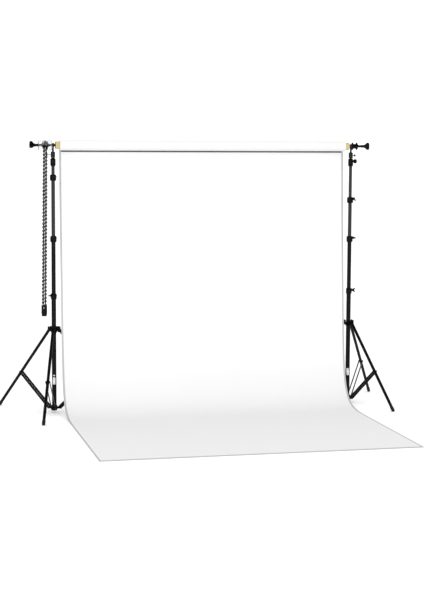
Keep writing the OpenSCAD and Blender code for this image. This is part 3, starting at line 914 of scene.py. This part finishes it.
def holder_frame(side):
    """Local +Z outboard along the roll's axis from the wheel's middle, and +Y up."""
    out = Vector((SIDES[side], 0, 0))
    up = Vector((0, 0, 1))
    turn = Matrix((up.cross(out), up, out)).transposed().to_4x4()
    return Matrix.Translation(WHEEL[side]) @ turn


def flange_outlines():
    """A flange's notched rim, its bore and its ring of round holes."""
    rim = []
    for a in round_angles(144):
        r = FLANGE_R - NOTCH_DEPTH * (0.5 + 0.5 * math.cos(NOTCHES * a)) ** 2
        rim.append((r * math.cos(a), r * math.sin(a)))
    holes = [circle(HOLE_R, 20, centre) for centre in circle(HOLES_AT_R, FLANGE_HOLES)]
    return [rim, circle(FLANGE_BORE_R, 40)] + holes


def make_wheels():
    """The chain wheel and its twin: two flanges with holes, a drum, pocket ribs and collars."""
    for side, node in (("left", "left_chain_wheel"), ("right", "right_wheel")):
        parts = []
        for z in (-FLANGE_Z, FLANGE_Z):
            flange = plate("flange", flange_outlines(), FLANGE_T, 0.7 * MM, "holder")
            flange.data.transform(Matrix.Translation((0, 0, z)))
            parts.append(flange)
        parts.append(turned("drum", rounded(DRUM, 1 * MM, 2), 64, "holder"))
        for k in range(6):
            rib = plate("rib", [rounded(RIB, 1 * MM, 2)], RIB_T, 0.8 * MM, "holder")
            turn = Matrix.Rotation(math.radians(60 * k + 15), 4, "Z")
            place = turn @ Matrix.Translation((0, RIB_OUT, 0))
            rib.data.transform(place @ Matrix.Rotation(math.pi / 2, 4, "X"))
            parts.append(rib)
        for z in (-COLLAR_Z, COLLAR_Z):
            low = [(11.02, z - 5), (14.6, z - 5), (15.4, z - 4)]
            high = [(15.4, z + 4), (14.6, z + 5), (11.02, z + 5)]
            collar = rounded(millimetres(low + high), 0.6 * MM, 2)
            parts.append(turned("collar", collar, 48, "holder"))
        wheel = joined(f"{side}_pocket_wheel", parts)
        wheel.data.transform(holder_frame(side))
        settle(wheel, "roll", "holder", node)


def make_holder_knobs():
    """The three-lobed knobs that draw the cones into the fingers, each with its rod."""
    for side in SIDES:
        node = f"{side}_holder_knob"
        low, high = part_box(node)
        inner = abs((high.x if side == "left" else low.x) - WHEEL[side].x)
        rod = [(0, -inner), (9 * MM, -inner), (9 * MM, 8 * MM - inner)]
        rod += thread(8 * MM - inner, 30 * MM - inner, SCREW_SHAFT_R)
        lift = math.pi / 2 if side == "left" else 0

        def lobes(r, z, angle, lift=lift):
            share = clamped((r - LOBE_START_R) / LOBE_GROWTH)
            if z > FACE_Z:
                share *= clamped((r - FACE_START_R) / FACE_GROWTH)
            wave = math.cos(3 * (angle - lift))
            flatten = math.cos(6 * (angle - lift))
            return r * (1 + share * (LOBE_DEPTH * wave - LOBE_FLATTEN * flatten))

        knob = turned(f"{node}_lobed", rod + HOLDER_KNOB, 120, "knob", lobes)
        knob.data.transform(holder_frame(side))
        settle(knob, node, "knob", node)


# ---------- drive chain ----------

CHAIN_DROP = 1500 * MM
CHAIN_TURN_R = 32.5 * MM
# Sideways, each strand's distance from the loop's middle line at the wheel and at the foot, and how
# far outboard the foot hangs.
CHAIN_SHIFT, CHAIN_FOOT_SHIFT, CHAIN_LEAN = 6 * MM, 10 * MM, -18 * MM
CHAIN_FOOT_GAP = 9 * MM
LINK_PITCH = 16.5 * MM
LINK_WIRE = 5 * MM
# Each kind of link, as half its length and half its width.
FLAT_LINK = (13 * MM, 12.8 * MM)
EDGE_LINK = (16.5 * MM, 9 * MM)


def chain_route():
    """Points on the loop's middle line: up the front strand, over the wheel and down behind."""
    wheel = WHEEL["left"]

    def over(a):
        x = wheel.x + CHAIN_SHIFT * math.cos(a)
        y = wheel.y - CHAIN_TURN_R * math.cos(a)
        return Vector((x, y, wheel.z + CHAIN_TURN_R * math.sin(a)))

    def foot(s):
        x = wheel.x + CHAIN_LEAN + s * CHAIN_FOOT_SHIFT
        return Vector((x, wheel.y - s * CHAIN_FOOT_GAP, AXIS.z - CHAIN_DROP))

    steps = 60
    points = [foot(1).lerp(over(0), i / steps) for i in range(steps)]
    points += [over(math.radians(a)) for a in range(0, 181, 5)]
    return points + [over(math.pi).lerp(foot(-1), i / steps) for i in range(1, steps + 1)]


def add_link(bm, half_length, half_width, place, way, across):
    """Adds one stadium-shaped link, long along way and flat in the plane of way and across."""
    around_steps, wire_steps = 18, 7
    rings = []
    normal = way.cross(across).normalized()
    r = half_width - LINK_WIRE
    straight = max(0.0, half_length - LINK_WIRE - r)
    for i in range(around_steps):
        a = 2 * math.pi * (i + 0.5) / around_steps
        along = math.sin(a) * r + math.copysign(straight, math.sin(a))
        centre = place + way * along + across * (math.cos(a) * r)
        out = (way * math.sin(a) + across * math.cos(a)).normalized()
        rings.append([
            bm.verts.new(centre + (out * math.cos(b) + normal * math.sin(b)) * LINK_WIRE)
            for b in round_angles(wire_steps)
        ])
    for i in range(around_steps):
        here, there = rings[i], rings[(i + 1) % around_steps]
        for k in range(wire_steps):
            n = (k + 1) % wire_steps
            bm.faces.new((here[k], there[k], there[n], here[n]))


def make_chain():
    """Links by turns short and flat, or longer and on edge, along the whole loop."""
    route = chain_route()
    lengths = [0.0]
    for a, b in zip(route, route[1:]):
        lengths.append(lengths[-1] + (b - a).length)
    bm = bmesh.new()
    at = 0  # the stretch of the route that the link is on
    for k in range(int(lengths[-1] / LINK_PITCH)):
        along = (k + 0.5) * LINK_PITCH
        while lengths[at + 1] < along:
            at += 1
        t = (along - lengths[at]) / (lengths[at + 1] - lengths[at])
        place = route[at].lerp(route[at + 1], t)
        way = (route[at + 1] - route[at]).normalized()
        across = (Vector((1, 0, 0)) - way * way.x).normalized()
        lean = math.radians(14 * math.sin(k * 0.37) + 6 * math.sin(k * 1.7))
        flat = k % 2 == 0
        turn = Matrix.Rotation(lean + (0 if flat else math.pi / 2), 3, way)
        add_link(bm, *(FLAT_LINK if flat else EDGE_LINK), place, way, turn @ across)
    chain = new_object("chain_links", bm, [MATERIALS["links"]])
    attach(chain, "left_riser_3")
    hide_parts("drive_chain")


# ---------- paper ----------

# The hanging paper's lean at the floor without the bend, and the heights over which that lean and
# the bend itself fall away.
HANG_LEAN = math.radians(6.3)
LEAN_FADE = 2.8
BEND_HEIGHT = 0.14
SHEET_T = 0.3 * MM
ROUTE_STEP = 4 * MM
# How far the side edges curl back, and how wide the curl is.
EDGE_CURL = 5 * MM
CURL_REACH = 28 * MM
# The ripples start this far below the roll's axis and grow over the next length. They and the curl
# fade below these heights.
RIPPLE_START, RIPPLE_GROWTH = 0.06, 0.4
RIPPLE_FADE, CURL_FADE = 0.25, 0.3
# Bands of painted shade on the paper's face, along its curled sides and its front edge, and the
# dark band of painted shadow under the roll, from its low to its high side above the roll's
# underside.
EDGE_SHADE_BAND = 17 * MM
FRONT_SHADE_BAND = 60 * MM
SHADE_LOW, SHADE_HIGH = -15 * MM, 30 * MM
# The heights at which the hanging paper is split, with the top of the CAD's bend as the last.
SPLIT_HEIGHTS = (1.75, 1.02, SWEEP_TOP)


def sheet_route():
    """Points (y, z) from the back of the roll to the front edge, with the paper's own smooth bend.

    The lean from the vertical grows slowly on the way down and quickly near the floor.
    """

    def lean(z):
        bend = math.exp(-z / BEND_HEIGHT)
        return math.pi / 2 * bend + HANG_LEAN * (math.exp(-z / LEAN_FADE) - bend)

    start = lean(AXIS.z)
    reach = ROLL_R + SHEET_T
    y = AXIS.y + reach * math.cos(start)
    z = AXIS.z - reach * math.sin(start)
    route = [(y, z)]
    while y > SHEET_FRONT:
        turn = lean(z)
        y -= ROUTE_STEP * math.sin(turn)
        z = max(0.0, z - ROUTE_STEP * math.cos(turn))
        if z < 0.2 * MM:
            z = 0.0
        route.append((max(y, SHEET_FRONT), z))
    return route


def ripple(x, along):
    """Slow waves in the hanging paper, a few millimetres deep."""
    wave = noise.noise(Vector((x * 0.55, along * 0.45, 3.1)))
    fine = noise.noise(Vector((x * 2.3, along * 1.1, 8.7)))
    return 4.0 * MM * wave + 0.9 * MM * fine


def sheet_columns():
    """Places across the paper, closer together at its edges."""
    half = PAPER_W / 2
    edge = [half - d * MM for d in (0, 3, 7, 12, 18, 28, 45, 80)]
    inner = [i * 0.06 for i in range(-21, 22)]
    return sorted([-e for e in edge] + inner + edge)


def sheet_picks(route, first, last):
    """The route's points that get a row: all at its ends, some in the bend, few elsewhere."""
    picks = [first]
    for i in range(first + 1, last):
        y, z = route[i]
        at_end = z > AXIS.z - 0.09 or y < SHEET_FRONT + 0.04
        every = 3 if z < 0.6 and y > SHEET_FRONT + 1.0 else 9
        if at_end or ((i - first) % every == 0 and last - i > 2):
            picks.append(i)
    return picks + [last]


def sheet_row(route, i):
    """Places across the paper at a point of the route, and the (y, z) direction out of its back."""
    y, z = route[i]
    before, after = route[max(i - 1, 0)], route[min(i + 1, len(route) - 1)]
    way = Vector((after[0] - before[0], after[1] - before[1])).normalized()
    back = Vector((-way.y, way.x))
    free = clamped((AXIS.z - RIPPLE_START - z) / RIPPLE_GROWTH) * min(1.0, z / RIPPLE_FADE)
    row = []
    for x in sheet_columns():
        shift = ripple(x, i * ROUTE_STEP) * free
        edge = max(0.0, 1 - (PAPER_W / 2 - abs(x)) / CURL_REACH)
        shift += EDGE_CURL * edge * edge * min(1.0, z / CURL_FADE) * min(1.0, free + 0.15)
        here = Vector((y, z)) + back * shift
        row.append(Vector((AXIS.x + x, here.x, here.y)))
    return row, back


def sheet_face(bm, rows, off):
    """Vertices for one face of the paper, off towards its back, and none below the floor."""
    grid = []
    for row, back in rows:
        line = []
        for place in row:
            spot = place + Vector((0, back.x * off, back.y * off))
            spot.z = max(spot.z + (SHEET_T / 2 if place.z < 1 * MM else 0), 0)
            line.append(bm.verts.new(spot))
        grid.append(line)
    return grid


def outer_loop(grid):
    """A grid's outermost vertices in order."""
    left, right = [line[0] for line in grid], [line[-1] for line in grid]
    return grid[0] + right[1:] + grid[-1][-2::-1] + left[-2:0:-1]


def band(middle):
    """The material of a bit of the paper's face: 0 plain, 1 a band of painted shade along an edge,
    2 the roll's painted shadow.
    """
    beside = abs(middle.x - AXIS.x) > PAPER_W / 2 - EDGE_SHADE_BAND
    if beside or middle.y < SHEET_FRONT + FRONT_SHADE_BAND:
        return 1
    return 2 if SHADE_LOW < middle.z - (AXIS.z - ROLL_R) < SHADE_HIGH else 0


def sheet_piece(name, route, first, last):
    """A closed thin solid along part of the route, and its length."""
    picks = sheet_picks(route, first, last)
    rows = [sheet_row(route, i) for i in picks]
    bm = bmesh.new()
    front = sheet_face(bm, rows, -SHEET_T / 2)
    rear = sheet_face(bm, rows, SHEET_T / 2)
    behind = set()
    for grid in (front, rear):
        for a, b in zip(grid, grid[1:]):
            for k in range(len(a) - 1):
                quad = bm.faces.new((a[k], a[k + 1], b[k + 1], b[k]))
                if grid is rear:
                    behind.add(quad)
    rims = [outer_loop(grid) for grid in (front, rear)]
    count = len(rims[0])
    for k in range(count):
        n = (k + 1) % count
        bm.faces.new((rims[0][k], rims[0][n], rims[1][n], rims[1][k]))
        for rim in rims:
            bm.edges.get((rim[k], rim[n])).smooth = False
    for face in bm.faces:
        if face not in behind:
            face.material_index = band(face.calc_center_median())
    materials = [MATERIALS[m] for m in ("paper", "paper_edge_painted_shade", "roll_painted_shadow")]
    piece = new_object(name, bm, materials)
    return piece, sum(math.dist(route[a], route[b]) for a, b in zip(picks, picks[1:]))


def make_sheet():
    """The paper in four stretches: three hang from the roll, and one is laid."""
    route = sheet_route()
    splits = [next(i for i, (_, z) in enumerate(route) if z < level) for level in SPLIT_HEIGHTS]
    cuts = [0] + splits + [len(route) - 1]
    bodies = [
        ("left_riser_2", "left_riser_3"),
        ("left_riser_1", "left_riser_2"),
        ("root", "left_riser_1"),
    ]
    for k, (low_body, high_body) in enumerate(bodies):
        piece, length = sheet_piece(f"paper_drop_{k + 1}", route, cuts[k], cuts[k + 1])
        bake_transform(piece)
        if k == 0:
            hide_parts("paper_drop")
    sweep, length = sheet_piece("paper_sweep_laid", route, cuts[3], cuts[4])
    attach(sweep, "root")
    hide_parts("paper_sweep")


# ---------- the roll ----------

INNER_R = CORE_R + 0.1 * MM
END_ROUND = 1.5 * MM


def lay_along_x(piece):
    """Turns a lathe's +Z to +X and puts it on the roll's axis."""
    piece.data.transform(Matrix.Translation(AXIS) @ Matrix.Rotation(math.pi / 2, 4, "Y"))


def make_roll():
    """The wound paper, with its ends slightly rounded, and the board core."""
    half = PAPER_W / 2
    bm = bmesh.new()
    body = [(ROLL_R, -half + END_ROUND)] + [(ROLL_R, -half + half * k / 4) for k in range(1, 8)]
    ends = [(ROLL_R, half - END_ROUND), (ROLL_R - 0.8 * MM, half - 0.3 * MM)]
    ends += [(CORE_R + 6 * MM, half), (INNER_R, half - 0.5 * MM), (INNER_R, -half + 0.5 * MM)]
    ends += [(CORE_R + 6 * MM, -half), (ROLL_R - 0.8 * MM, -half + 0.3 * MM)]
    lathe(bm, body + ends, 128)
    for face in bm.faces:
        if abs(face.calc_center_median().z) > half - (END_ROUND - 0.1 * MM):
            face.material_index = 1
    # The roll's face carries painted shade: it is darker than the same paper on the sheet.
    roll = new_object("wound_paper", bm, [MATERIALS["paper_wound_painted_shade"], MATERIALS["wound_edge"]])
    lay_along_x(roll)
    round_edges(roll, 0.3 * MM, 50, 1)
    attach(roll, "roll")
    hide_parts("paper_roll")
    reach = (CORE_HIGH.x - CORE_LOW.x) / 2
    bm = bmesh.new()
    outside = [(CORE_R, -reach), (CORE_R, 0), (CORE_R, reach)]
    inside = [(CORE_BORE_R, reach), (CORE_BORE_R, 0), (CORE_BORE_R, -reach)]
    lathe(bm, rounded(outside + inside, 0.8 * MM, 2), 96)
    core = new_object("board_core", bm, [MATERIALS["cardboard"]])
    lay_along_x(core)
    round_edges(core, 0.2 * MM, 60, 1)
    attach(core, "roll")
    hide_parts("cardboard_core")


make_camera()
make_surround()
make_front_light()
make_floor()
dress_nodes()
make_knobs()
make_clamp_bolts()
make_lips()
make_labels()
make_feet()
make_wheels()
make_holder_knobs()
make_chain()
make_roll()
make_sheet()
